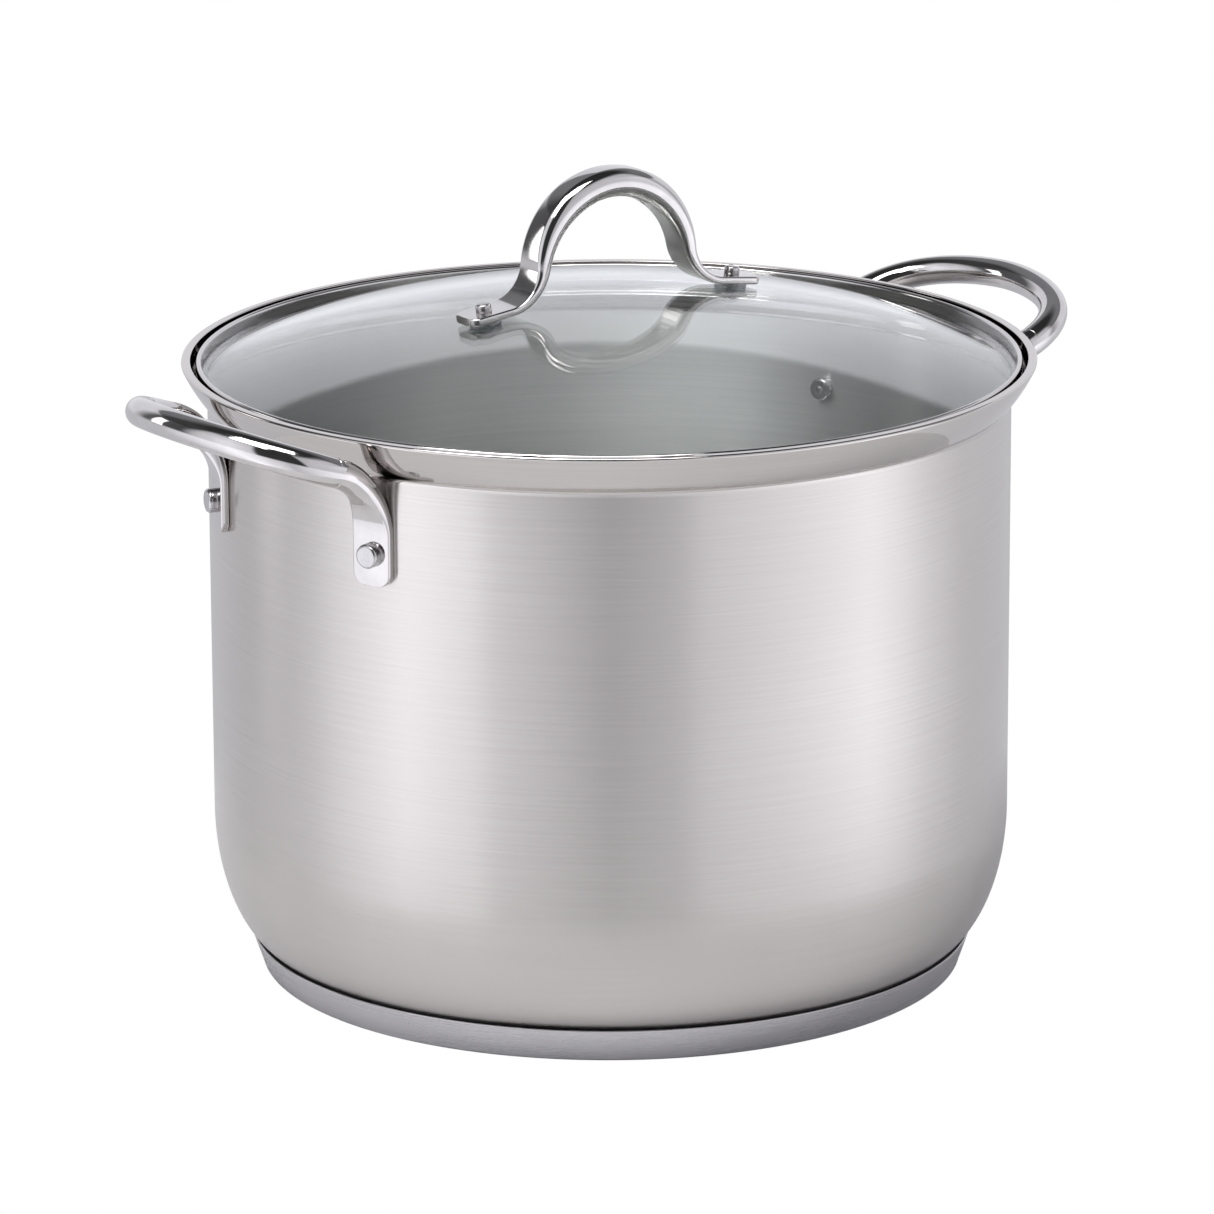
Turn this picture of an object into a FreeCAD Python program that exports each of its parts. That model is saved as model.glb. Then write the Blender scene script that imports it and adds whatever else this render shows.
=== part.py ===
"""Stock pot with a glass lid, in millimetres.

The origin is the centre of the base, on the surface that the pot stands on. +Z is up, and +X runs
through the middle of the right side handle. Each piece of the real pot is one solid in its own file.
"""
import FreeCAD, Part
import math
import os

from FreeCAD import Vector

os.makedirs("parts", exist_ok=True)

# ---- driving dimensions -------------------------------------------------------------------------
# Pot shell: one deep-drawn sheet with a flared rim
body_radius = 138.0          # outside of the straight wall
rim_height = 214.6           # top of the rim above the table
sheet = 0.8                  # thickness of the stainless sheet
corner_width = 23.0          # how far the lower corner reaches in from the wall
corner_height = 47.5         # how far the lower corner reaches up the wall
rim_overhang = 8.7           # how far the rim stands out past the wall
lip_width = 3.1              # width of the lip, seen from above
lip_round = 0.75             # rounding of the lip's outer edge
collar_round = 0.4           # rounding of the lip's inner edge
flare_start_lean = 40.0      # lean of the flare from upright where it leaves the wall, degrees
flare_end_lean = 26.0        # lean of the flare from upright under the lip, degrees
flare_blend = 3.0            # radius between the wall and the flare

# Encapsulated base
base_height = 8.4            # underside of the shell above the table
cap_sheet = 0.8              # thickness of the base cap
cap_lip_height = 11.9        # top of the cap's lip above the table
cap_taper = 4.0              # how much further out the cap's lip is than its foot
cap_edge_round = 1.4         # how high the rounded edge of the cap's floor reaches
groove_width = 1.1           # gap between the cap's lip and the shell
groove_depth = 1.2           # how far the core stays below the cap's lip

# Side handles: bar with flattened feet
foot_spacing = 89.2          # between the middles of the two feet of a handle
foot_width = 15.0
foot_thickness = 3.0
foot_drop = 50.6             # lower end of the feet below the rim
foot_growth = 26.0           # length over which the flat foot grows into the round bar
foot_corner = 4.5            # rounding of the feet's lower corners
foot_edge = 0.9              # rounding of the feet's long edges
bar_diameter = 10.2
bar_bend_radius = 26.0       # bend between a foot and the bar
loop_reach = 41.0            # middle of the bar past the wall at the outermost point
loop_rise = 2.1              # middle of the bar above the rim at the outermost point
loop_slope = 20.3            # rise of the loop, in degrees
loop_leg_pull = 43.5         # how strongly each leg keeps its direction as it leaves the foot
loop_nose_pull = 14.0        # how strongly the outer end keeps straight

# Side handle rivets
rivet_drop = 40.0            # middle of the rivets below the rim
rivet_shank = 6.0
rivet_head = 8.3
rivet_head_height = 3.2
rivet_head_round = 1.1
rivet_inner_head = 8.0
rivet_inner_height = 2.4
rivet_inner_round = 0.7

# Glass lid
dome_radius = 400.0          # outside of the glass
glass_thickness = 4.0
seat_depth = 6.2             # middle of the glass's edge below the rim
seat_gap = 0.55              # between the band and the flare under it
lid_gap = 1.8                # between the lid's band and the rim's lip
lid_drop = 0.2               # how far the band's top stays below the rim
band_bead_width = 2.0        # width of the band's visible bead
band_sheet = 0.6             # thickness of the band where it wraps the glass
skirt_sheet = 0.5            # thickness of the hanging skirt
skirt_depth = 5.0            # length of the hanging skirt
skirt_gap = 0.5              # between the skirt and the wall
lid_turn = -3.8              # the lid rests turned this much from the side handles, degrees

# Lid handle: arched strap
strap_width = 14.0
strap_foot_thickness = 2.8
strap_crown_thickness = 10.0
strap_edge = 0.9             # rounding of the strap's edges at its feet
strap_crown_edge = 4.6       # rounding of the strap's edges at its crown
strap_crown_length = 14.3    # the strap keeps its full thickness this far on each side of the crown
strap_thin_length = 9.0      # the strap keeps its foot's thickness this far inside each rivet
arch_radius = 30.0           # middle of the strap over the crown
arch_lean = 8.0              # lean of the legs from upright, degrees
arch_rise = 44.5             # top of the strap above the top of the glass
lid_rivet_reach = 50.3       # from the middle of the lid to each rivet
strap_end = 8.4              # from each rivet to the end of the strap
strap_nose = 3.2             # rounding of the strap's end corners

# Lid handle fixings
lid_shank = 4.0
lid_rivet_head = 5.4
lid_rivet_head_height = 2.7
lid_rivet_head_round = 0.9
lid_inner_head = 7.0
lid_inner_height = 1.5
lid_inner_round = 0.5
grommet_flange = 11.0
grommet_thickness = 1.1      # between the strap and the glass
glass_hole = 7.2
lower_pad = 11.0
lower_pad_thickness = 1.0
steel_washer = 12.0
steel_washer_thickness = 0.8

# ---- sizes worked out from the driving dimensions -----------------------------------------------
AXIS = Vector(0, 0, 1)
ORIGIN = Vector(0, 0, 0)
DRILL_LENGTH = 60.0          # long enough to pass through every wall that is drilled
TRIM = 0.2                   # extra thickness that is trimmed to the curve of the glass
ROUND_LIMIT = 0.985          # the most of half a side that a rounded corner may take
PATH_STEPS = 400             # points along a path before its stations are picked
BAR_STATION = 4.5            # length between two sections of a side handle
STRAP_STATION = 5.0          # length between two sections of the strap
wall_inside = body_radius - sheet
rim_radius = body_radius + rim_overhang
lip_inside = rim_radius - lip_width
foot_half_angle = math.degrees(math.asin(foot_spacing / 2 / body_radius))
foot_inner_plane = math.sqrt(body_radius ** 2 - (foot_width / 2) ** 2)
foot_middle_plane = foot_inner_plane + foot_thickness / 2
foot_outer_plane = foot_inner_plane + foot_thickness
foot_bottom = rim_height - foot_drop
rivet_height = rim_height - rivet_drop


def at(radius, height):
    """A point of an outline in the XZ plane."""
    return Vector(radius, 0, height)


def arc(centre, radius, start, end):
    """An arc of an outline in the XZ plane. Angles in degrees, 0 outwards and 90 up."""
    def point(angle):
        turn = math.radians(angle)
        return centre + Vector(radius * math.cos(turn), 0, radius * math.sin(turn))
    return Part.Arc(point(start), point((start + end) / 2), point(end)).toShape()


def chain(*items):
    """Joins points and edges, in order, into a closed outline. Straight lines fill the gaps."""
    edges = []
    last = None
    first = None
    for item in items:
        start = item if isinstance(item, Vector) else item.firstVertex(True).Point
        end = item if isinstance(item, Vector) else item.lastVertex(True).Point
        if last is not None and last.distanceToPoint(start) > 1e-6:
            edges.append(Part.makeLine(last, start))
        if not isinstance(item, Vector):
            edges.append(item)
        first = start if first is None else first
        last = end
    if last.distanceToPoint(first) > 1e-6:
        edges.append(Part.makeLine(last, first))
    return Part.Wire(edges)


def turned(outline):
    """A solid of revolution about Z from a closed outline in the XZ plane."""
    return Part.Face(outline).revolve(ORIGIN, AXIS, 360)


def quarter_corner(width, height, rising):
    """The elliptical lower corner of the shell, from its floor to its wall or back."""
    centre = at(body_radius - corner_width, base_height + corner_height)
    low = centre - Vector(0, 0, height)
    side = centre + Vector(width, 0, 0)
    curve = Part.ArcOfEllipse(Part.Ellipse(low, side, centre), 0, math.pi / 2)
    if not rising:
        curve.reverse()
    return curve.toShape()


def moved(shape, angle, radius, height, tilt=90.0):
    """Places a piece that was made along Z: leans it by tilt, then puts it round the pot."""
    piece = shape.copy()
    piece.rotate(ORIGIN, Vector(0, 1, 0), tilt)
    piece.translate(Vector(radius, 0, height))
    piece.rotate(ORIGIN, AXIS, angle)
    return piece


def button(diameter, height, edge):
    """A rivet head that stands on the XY plane, with a rounded upper edge."""
    head = Part.makeCylinder(diameter / 2, height)
    top = [e for e in head.Edges if e.CenterOfMass.z > height - 1e-6 and e.Length > diameter]
    return head.makeFillet(edge, top)


def drill(diameter):
    """A long round bar along Z, for cutting holes."""
    return Part.makeCylinder(diameter / 2, DRILL_LENGTH, Vector(0, 0, -DRILL_LENGTH / 2))


def corner_waste(width, radius, depth):
    """What is cut away to round both corners of a flat bar that ends at the YZ plane, coming from -X."""
    corners = []
    for side in (1, -1):
        middle = Vector(-radius, 0, -depth / 2)
        block = Part.makeBox(2 * radius, 2 * radius, depth, middle)
        corner = block.cut(Part.makeCylinder(radius, depth, middle))
        corner.translate(Vector(0, width / 2 - radius, 0))
        corners.append(corner if side > 0 else corner.mirror(ORIGIN, Vector(0, 1, 0)))
    return corners[0].fuse(corners[1])


# ---- pot shell ----------------------------------------------------------------------------------
# The flare is an arc that leaves the blend at its first lean and runs into the lip's rounding at its last.
start_lean = math.radians(flare_start_lean)
end_lean = math.radians(flare_end_lean)
blend_reach = flare_blend * (1 - math.cos(start_lean))
lip_reach = lip_round * (1 - math.cos(end_lean))
flare_radius = (rim_overhang - blend_reach - lip_reach) / (math.cos(end_lean) - math.cos(start_lean))
lip_centre = at(rim_radius - lip_round, rim_height - lip_round)
flare_centre = lip_centre + at(
    -(flare_radius - lip_round) * math.cos(end_lean), (flare_radius - lip_round) * math.sin(end_lean))
wall_end = flare_centre.z - (flare_blend + flare_radius) * math.sin(start_lean)
blend_centre = at(body_radius + flare_blend, wall_end)


def shell_outside():
    """The outer face of the shell, from the middle of its floor to the top of its lip."""
    return [
        at(0, base_height),
        quarter_corner(corner_width, corner_height, True),
        arc(blend_centre, flare_blend, 180, 180 - flare_start_lean),
        arc(flare_centre, flare_radius, -flare_start_lean, -flare_end_lean),
        arc(lip_centre, lip_round, -flare_end_lean, 90),
    ]


def pot_shell():
    """The drawn shell. Its flare ends in a lip that stands upright on the inside."""
    inner_flare = flare_radius - sheet
    collar_foot = math.degrees(math.acos((lip_inside - flare_centre.x) / inner_flare))
    outline = chain(
        *shell_outside(),
        arc(at(lip_inside + collar_round, rim_height - collar_round), collar_round, 90, 180),
        arc(flare_centre, inner_flare, -collar_foot, -flare_start_lean),
        arc(blend_centre, flare_blend + sheet, 180 - flare_start_lean, 180),
        quarter_corner(corner_width - sheet, corner_height - sheet, False),
        at(0, base_height + sheet),
    )
    return turned(outline)


def shell_block():
    """The shell with its inside filled, for shaping what lies against its outer face."""
    return turned(chain(*shell_outside(), at(0, rim_height)))


# ---- encapsulated base --------------------------------------------------------------------------
below_corner = (base_height + corner_height - cap_lip_height) / corner_height
shell_at_lip = body_radius - corner_width * (1 - math.sqrt(1 - below_corner ** 2))
cap_lip_radius = shell_at_lip + groove_width + cap_sheet
cap_foot_radius = cap_lip_radius - cap_taper
core_top = cap_lip_height - groove_depth


def cap_outside(height):
    """Outer radius of the cap's side at a height above the table."""
    return cap_foot_radius + cap_taper * height / cap_lip_height


def base_cap():
    """The stainless cap: a shallow dish whose lip stops just short of the shell."""
    floor_edge = at(cap_foot_radius - cap_edge_round, 0)
    knee = at(cap_foot_radius - cap_edge_round, cap_edge_round)
    side_start = at(cap_outside(cap_edge_round), cap_edge_round)
    bulge = knee + at(side_start.x - knee.x, -cap_edge_round) * math.sqrt(0.5)
    outline = chain(
        at(0, 0),
        Part.Arc(floor_edge, bulge, side_start).toShape(),
        at(cap_outside(cap_lip_height), cap_lip_height),
        at(cap_outside(cap_lip_height) - cap_sheet, cap_lip_height),
        at(cap_outside(cap_sheet) - cap_sheet, cap_sheet),
        at(0, cap_sheet),
    )
    return turned(outline)


def base_core():
    """The aluminium disc that fills the space between the cap and the shell."""
    low_edge = at(cap_outside(cap_sheet) - cap_sheet, cap_sheet)
    top_edge = at(cap_outside(core_top) - cap_sheet, core_top)
    block = turned(chain(at(0, cap_sheet), low_edge, top_edge, at(0, core_top)))
    return block.cut(shell_block())


# ---- side handles -------------------------------------------------------------------------------
def rounded_section(centre, across, through, width, thickness, edge):
    """A closed rectangle with rounded corners, set across a bar at one station of its length."""
    half_w = width / 2
    half_t = thickness / 2
    corner = min(edge, half_w * ROUND_LIMIT, half_t * ROUND_LIMIT)
    diagonal = corner * (1 - math.sqrt(0.5))

    def put(w, t):
        return centre + across * w + through * t

    edges = []
    for w_sign, t_sign in ((1, 1), (-1, 1), (-1, -1), (1, -1)):
        on_side = put(w_sign * half_w, t_sign * (half_t - corner))
        on_face = put(w_sign * (half_w - corner), t_sign * half_t)
        knee = put(w_sign * (half_w - diagonal), t_sign * (half_t - diagonal))
        if w_sign == t_sign:
            edges.append(Part.Arc(on_side, knee, on_face).toShape())
        else:
            edges.append(Part.Arc(on_face, knee, on_side).toShape())
    joined = []
    for index, edge_shape in enumerate(edges):
        following = edges[(index + 1) % len(edges)]
        joined.append(edge_shape)
        joined.append(Part.makeLine(edge_shape.lastVertex(True).Point, following.firstVertex(True).Point))
    return Part.Wire(joined)


def eased(value, start, end):
    """Rises smoothly from 0 at start to 1 at end."""
    share = min(1.0, max(0.0, (value - start) / (end - start)))
    return share * share * (3 - 2 * share)


def leg_plan(share):
    """The loop seen from above, from the foot (0) to the outermost point (1)."""
    angle = math.radians(foot_half_angle)
    away = Vector(math.cos(angle), math.sin(angle), 0)
    tip = body_radius + loop_reach
    poles = [
        away * foot_middle_plane,
        away * (foot_middle_plane + loop_leg_pull),
        Vector(tip, loop_nose_pull, 0),
        Vector(tip, 0, 0),
    ]
    weights = [(1 - share) ** 3, 3 * share * (1 - share) ** 2, 3 * share ** 2 * (1 - share), share ** 3]
    point = Vector(0, 0, 0)
    for pole, weight in zip(poles, weights):
        point += pole * weight
    return point


def leg_path():
    """Points along the middle of half the handle, from the top of the foot's flat to the tip."""
    slope = math.radians(loop_slope)
    plan = [leg_plan(index / PATH_STEPS) for index in range(PATH_STEPS + 1)]
    run = [0.0]
    for before, after in zip(plan, plan[1:]):
        run.append(run[-1] + before.distanceToPoint(after))
    bend_run = bar_bend_radius * (1 - math.sin(slope))
    bend_end = min(index for index in range(PATH_STEPS + 1) if run[index] >= bend_run)

    def sloped(point):
        return rim_height + loop_rise - math.tan(slope) * (body_radius + loop_reach - point.x)

    bend_height = sloped(plan[bend_end]) - bar_bend_radius * math.cos(slope)
    points = []
    for index in range(PATH_STEPS + 1):
        if index < bend_end:
            rise = math.sqrt(max(0.0, bar_bend_radius ** 2 - (bar_bend_radius - run[index]) ** 2))
            height = bend_height + rise
        else:
            height = sloped(plan[index])
        points.append(Vector(plan[index].x, plan[index].y, height))
    return points, bend_height


def stations(points, spacing):
    """Points of a path picked at an even spacing along it, with the last one kept."""
    total = sum(a.distanceToPoint(b) for a, b in zip(points, points[1:]))
    count = max(2, round(total / spacing))
    wanted = total / count
    picked = [points[0]]
    travelled = 0.0
    for before, after in zip(points, points[1:]):
        travelled += before.distanceToPoint(after)
        if travelled >= wanted * len(picked) - 1e-6 and len(picked) < count:
            picked.append(after)
    picked.append(points[-1])
    return picked


def foot_plate(bend_height):
    """The flat foot on the +Y side of a handle: a plate with rounded edges and two rounded corners."""
    angle = math.radians(foot_half_angle)
    outward = Vector(math.cos(angle), math.sin(angle), 0)
    across = Vector(-math.sin(angle), math.cos(angle), 0)
    low = outward * foot_middle_plane + Vector(0, 0, foot_bottom)
    section = rounded_section(low, across, outward, foot_width, foot_thickness, foot_edge)
    plate = Part.Face(section).extrude(Vector(0, 0, bend_height - foot_bottom))
    waste = corner_waste(foot_width, foot_corner, 4 * foot_thickness)
    return plate.cut(moved(waste, foot_half_angle, foot_middle_plane, foot_bottom))


def side_handle():
    """One side handle, on the +X side: a bar whose two ends are pressed flat into feet."""
    angle = math.radians(foot_half_angle)
    points, bend_height = leg_path()
    half = stations(points, BAR_STATION)
    length = [0.0]
    for before, after in zip(half, half[1:]):
        length.append(length[-1] + before.distanceToPoint(after))
    across = Vector(-math.sin(angle), math.cos(angle), 0)
    sections = []
    for index, point in enumerate(half):
        ahead = half[min(index + 1, len(half) - 1)]
        behind = half[max(index - 1, 0)]
        along = (ahead - behind).normalize()
        if index == 0:
            along = Vector(0, 0, 1)
        elif index == len(half) - 1:
            along = Vector(0, -1, 0)
        across = (across - along * across.dot(along)).normalize()
        through = along.cross(across).normalize()
        grown = eased(length[index], 0, foot_growth)
        width = foot_width + (bar_diameter - foot_width) * grown
        thickness = foot_thickness + (bar_diameter - foot_thickness) * grown
        edge = foot_edge + (bar_diameter / 2 - foot_edge) * grown
        sections.append((point, across, through, width, thickness, edge))
    wires = [rounded_section(*section) for section in sections]
    mirrored = []
    for point, side, face, width, thickness, edge in reversed(sections[:-1]):
        flipped = [Vector(v.x, -v.y, v.z) for v in (point, side, face)]
        mirrored.append(rounded_section(flipped[0], flipped[1] * -1, flipped[2], width, thickness, edge))
    bar = Part.makeLoft(wires + mirrored, True, False).cut(shell_block())
    rear_foot = foot_plate(bend_height).cut(shell_block())
    front_foot = rear_foot.mirror(ORIGIN, Vector(0, 1, 0))
    return bar.fuse([rear_foot, front_foot])


def radial_hole(angle):
    """The bar that drills the hole of one side rivet."""
    return moved(drill(rivet_shank), angle, body_radius, rivet_height)


def side_rivet(angle):
    """A rivet through a foot and the wall. Its inner head lies against the curve of the wall."""
    wall_side = wall_inside - rivet_inner_height
    shank = Part.makeCylinder(rivet_shank / 2, foot_outer_plane - wall_side)
    inner = button(rivet_inner_head, sheet + rivet_inner_height, rivet_inner_round)
    inner.rotate(ORIGIN, Vector(1, 0, 0), 180)
    inner.translate(Vector(0, 0, sheet + rivet_inner_height))
    ring = Part.makeCylinder(wall_inside, rim_height)
    head = button(rivet_head, rivet_head_height, rivet_head_round)
    inside = moved(inner, angle, wall_side, rivet_height).common(ring)
    through = moved(shank, angle, wall_side, rivet_height)
    outside = moved(head, angle, foot_outer_plane, rivet_height)
    return inside.fuse([through, outside]).removeSplitter()


# ---- glass lid ----------------------------------------------------------------------------------
# The glass ends in a full round, and the band's wrap about that round keeps its gap to the flare.
edge_round = glass_thickness / 2
band_wrap = edge_round + band_sheet
band_outside = lip_inside - lid_gap
band_inside = band_outside - band_bead_width
band_top = rim_height - lid_drop
edge_height = rim_height - seat_depth
edge_swing = flare_radius - sheet - seat_gap - band_wrap
edge_reach = flare_centre.x + math.sqrt(edge_swing ** 2 - (flare_centre.z - edge_height) ** 2)
glass_edge = at(edge_reach, edge_height)
dome_centre = at(0, edge_height - math.sqrt((dome_radius - edge_round) ** 2 - edge_reach ** 2))
dome_edge_angle = 90 - math.degrees(math.asin(edge_reach / (dome_radius - edge_round)))
WRAP_END = -115.0            # where the wrap under the glass turns into the skirt, degrees


def lid_glass():
    """A dome of tempered glass with a ground round edge and two holes for the handle's rivets."""
    glass = turned(chain(
        arc(dome_centre, dome_radius, 90, dome_edge_angle),
        arc(glass_edge, edge_round, dome_edge_angle, dome_edge_angle - 180),
        arc(dome_centre, dome_radius - glass_thickness, dome_edge_angle, 90),
    ))
    for side in (1, -1):
        glass = glass.cut(on_dome(drill(glass_hole), side))
    return glass


def lid_band():
    """The stainless band: it wraps the edge of the glass, with a bead above and a skirt below."""
    bead = band_bead_width / 2
    skirt_outside = wall_inside - skirt_gap
    skirt_inside = skirt_outside - skirt_sheet
    grip = math.degrees(math.acos((band_inside - edge_reach) / edge_round))
    wrap = arc(glass_edge, band_wrap, WRAP_END, 0)
    wrap_bottom = wrap.firstVertex(True).Point.z
    outline = chain(
        at(skirt_outside, wrap_bottom - skirt_depth),
        at(skirt_outside, wrap_bottom - skirt_sheet),
        wrap,
        at(band_outside, edge_height + edge_round),
        arc(at(band_outside - bead, band_top - bead), bead, 0, 180),
        arc(glass_edge, edge_round, grip, WRAP_END),
        at(skirt_inside, wrap_bottom),
        at(skirt_inside, wrap_bottom - skirt_depth),
    )
    return turned(outline)


# ---- lid handle and its fixings -----------------------------------------------------------------
rivet_tilt = math.degrees(math.asin(lid_rivet_reach / dome_radius))
rivet_foot = dome_centre + at(lid_rivet_reach, math.sqrt(dome_radius ** 2 - lid_rivet_reach ** 2))


def on_dome(shape, side):
    """Moves a piece made on the XY plane to one rivet, with Z along the outward normal of the glass."""
    piece = shape.copy()
    piece.rotate(ORIGIN, Vector(0, 1, 0), side * rivet_tilt)
    piece.translate(Vector(side * rivet_foot.x, 0, rivet_foot.z))
    return piece


def strap_path():
    """Points along the middle of half the strap, from its crown to its outer end."""
    tilt = math.radians(rivet_tilt)
    steep = math.radians(90 - arch_lean)
    arch_top = dome_centre.z + dome_radius + arch_rise
    arch_centre = arch_top - strap_crown_thickness / 2 - arch_radius
    stand_off = grommet_thickness + strap_foot_thickness / 2
    foot = rivet_foot + at(stand_off * math.sin(tilt), stand_off * math.cos(tilt))
    leg = at(arch_radius * math.sin(steep), arch_centre + arch_radius * math.cos(steep))
    bend = (leg.z - foot.z + math.tan(tilt) * (leg.x - foot.x)) / (
        math.cos(tilt) - math.cos(steep) - math.tan(tilt) * (math.sin(steep) - math.sin(tilt)))
    bend_centre = leg + at(bend * math.sin(steep), bend * math.cos(steep))
    points = []
    for index in range(PATH_STEPS + 1):
        turn = steep * index / PATH_STEPS
        points.append(at(arch_radius * math.sin(turn), arch_centre + arch_radius * math.cos(turn)))
    for index in range(1, PATH_STEPS + 1):
        turn = steep + (tilt - steep) * index / PATH_STEPS
        points.append(bend_centre - at(bend * math.sin(turn), bend * math.cos(turn)))
    end = foot + at(strap_end * math.cos(tilt), -strap_end * math.sin(tilt))
    start = points[-1]
    for index in range(1, PATH_STEPS + 1):
        points.append(start + (end - start) * (index / PATH_STEPS))
    return points


def lid_handle():
    """The arched strap: flat feet that grow into a full rounded grip over the crown."""
    half = stations(strap_path(), STRAP_STATION)
    length = [0.0]
    for before, after in zip(half, half[1:]):
        length.append(length[-1] + before.distanceToPoint(after))
    flat = strap_end + strap_thin_length
    across = Vector(0, 1, 0)
    sections = []
    for index, point in enumerate(half):
        ahead = half[min(index + 1, len(half) - 1)]
        behind = half[max(index - 1, 0)]
        along = Vector(1, 0, 0) if index == 0 else (ahead - behind).normalize()
        through = across.cross(along) * -1
        grown = 1 - eased(length[index], strap_crown_length, length[-1] - flat)
        thickness = strap_foot_thickness + (strap_crown_thickness - strap_foot_thickness) * grown
        edge = strap_edge + (strap_crown_edge - strap_edge) * grown
        sections.append((point, across, through, strap_width, thickness, edge))
    wires = []
    for point, side, face, width, thickness, edge in reversed(sections[1:]):
        flipped_point = Vector(-point.x, point.y, point.z)
        flipped_face = Vector(-face.x, face.y, face.z)
        wires.append(rounded_section(flipped_point, side, flipped_face, width, thickness, edge))
    wires += [rounded_section(*section) for section in sections]
    strap = Part.makeLoft(wires, True, False)
    waste = corner_waste(strap_width, strap_nose, 4 * strap_foot_thickness)
    waste.translate(Vector(strap_end, 0, grommet_thickness + strap_foot_thickness / 2))
    seat = Part.makeCylinder(grommet_flange / 2, grommet_thickness)
    for side in (1, -1):
        for tool in (waste, seat, drill(lid_shank)):
            strap = strap.cut(on_dome(tool, side))
        waste.rotate(ORIGIN, AXIS, 180)
    return strap


def grommet(side, glass):
    """A silicone grommet: a flange under the strap and a sleeve through the glass."""
    flange = Part.makeCylinder(grommet_flange / 2, grommet_thickness + TRIM, Vector(0, 0, -TRIM))
    sleeve = Part.makeCylinder(glass_hole / 2, glass_thickness, Vector(0, 0, -glass_thickness))
    pad = on_dome(flange, side).cut(glass)
    return pad.fuse(on_dome(sleeve, side)).cut(on_dome(drill(lid_shank), side)).removeSplitter()


def soft_washer(side, glass):
    """A soft washer under the glass, round the grommet's sleeve."""
    low = -glass_thickness - lower_pad_thickness
    disc = Part.makeCylinder(lower_pad / 2, lower_pad_thickness + TRIM, Vector(0, 0, low))
    sleeve = Part.makeCylinder(glass_hole / 2, glass_thickness, Vector(0, 0, -glass_thickness))
    disc = disc.cut(sleeve).cut(drill(lid_shank))
    return on_dome(disc, side).cut(glass)


def steel_washer_disc(side):
    """A steel washer that spreads the load of the rivet under the soft washer."""
    low = -glass_thickness - lower_pad_thickness - steel_washer_thickness
    disc = Part.makeCylinder(steel_washer / 2, steel_washer_thickness, Vector(0, 0, low))
    return on_dome(disc.cut(drill(lid_shank)), side)


def lid_rivet(side):
    """A rivet through the strap, the glass and its washers."""
    top = grommet_thickness + strap_foot_thickness
    low = -glass_thickness - lower_pad_thickness - steel_washer_thickness
    shank = Part.makeCylinder(lid_shank / 2, top - low, Vector(0, 0, low))
    head = button(lid_rivet_head, lid_rivet_head_height, lid_rivet_head_round)
    head.translate(Vector(0, 0, top))
    inner = button(lid_inner_head, lid_inner_height, lid_inner_round)
    inner.rotate(ORIGIN, Vector(1, 0, 0), 180)
    inner.translate(Vector(0, 0, low))
    return on_dome(shank.fuse([head, inner]).removeSplitter(), side)


# ---- the whole pot ------------------------------------------------------------------------------
def build():
    """Makes every piece, in place, under the name of its file."""
    shell = pot_shell()
    handle = side_handle()
    foot_angles = {"front": -foot_half_angle, "rear": foot_half_angle}
    pieces = {"base_cap": base_cap(), "base_core_disc": base_core()}
    for angle in foot_angles.values():
        handle = handle.cut(radial_hole(angle))
        for turn in (0, 180):
            shell = shell.cut(radial_hole(angle + turn))
    pieces["pot_body"] = shell
    for name, turn in (("right", 0), ("left", 180)):
        placed = handle.copy()
        placed.rotate(ORIGIN, AXIS, turn)
        pieces[name + "_handle"] = placed
        for end, angle in foot_angles.items():
            seat = angle if turn == 0 else turn - angle
            pieces["rivet_" + name + "_" + end] = side_rivet(seat)

    glass = lid_glass()
    lid = {"lid_glass": glass, "lid_band": lid_band(), "lid_handle": lid_handle()}
    for name, side in (("left", -1), ("right", 1)):
        lid["lid_rivet_" + name] = lid_rivet(side)
        lid["grommet_" + name] = grommet(side, glass)
        lid["soft_washer_" + name] = soft_washer(side, glass)
        lid["steel_washer_" + name] = steel_washer_disc(side)
    for shape in lid.values():
        shape.rotate(ORIGIN, AXIS, lid_turn)
    pieces.update(lid)
    return pieces


for name, shape in build().items():
    solid = shape.Solids[0] if len(shape.Solids) == 1 else shape
    solid.exportStep("parts/" + name + ".step")
    box = solid.BoundBox
    print(f"{name:20s} solids {len(shape.Solids)} valid {solid.isValid()} volume {solid.Volume:10.1f} "
          f"x {box.XMin:7.1f} {box.XMax:7.1f} y {box.YMin:7.1f} {box.YMax:7.1f} "
          f"z {box.ZMin:6.1f} {box.ZMax:6.1f}")
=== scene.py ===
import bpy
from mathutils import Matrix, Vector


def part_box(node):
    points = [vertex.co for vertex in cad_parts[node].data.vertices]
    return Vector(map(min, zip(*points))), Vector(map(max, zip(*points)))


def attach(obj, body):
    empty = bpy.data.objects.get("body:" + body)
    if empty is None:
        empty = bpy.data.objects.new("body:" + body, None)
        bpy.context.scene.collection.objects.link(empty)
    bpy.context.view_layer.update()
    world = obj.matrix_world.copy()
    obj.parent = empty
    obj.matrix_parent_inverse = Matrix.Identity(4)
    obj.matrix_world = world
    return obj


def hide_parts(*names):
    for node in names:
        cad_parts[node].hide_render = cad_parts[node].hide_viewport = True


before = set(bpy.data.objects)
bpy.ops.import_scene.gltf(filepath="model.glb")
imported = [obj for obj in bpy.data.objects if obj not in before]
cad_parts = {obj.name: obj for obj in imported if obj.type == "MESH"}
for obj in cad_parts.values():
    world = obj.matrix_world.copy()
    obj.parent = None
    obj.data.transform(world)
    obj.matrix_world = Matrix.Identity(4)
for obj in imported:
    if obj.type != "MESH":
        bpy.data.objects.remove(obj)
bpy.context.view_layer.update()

import math

import bmesh
import bpy
from mathutils import Matrix, Vector

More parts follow.
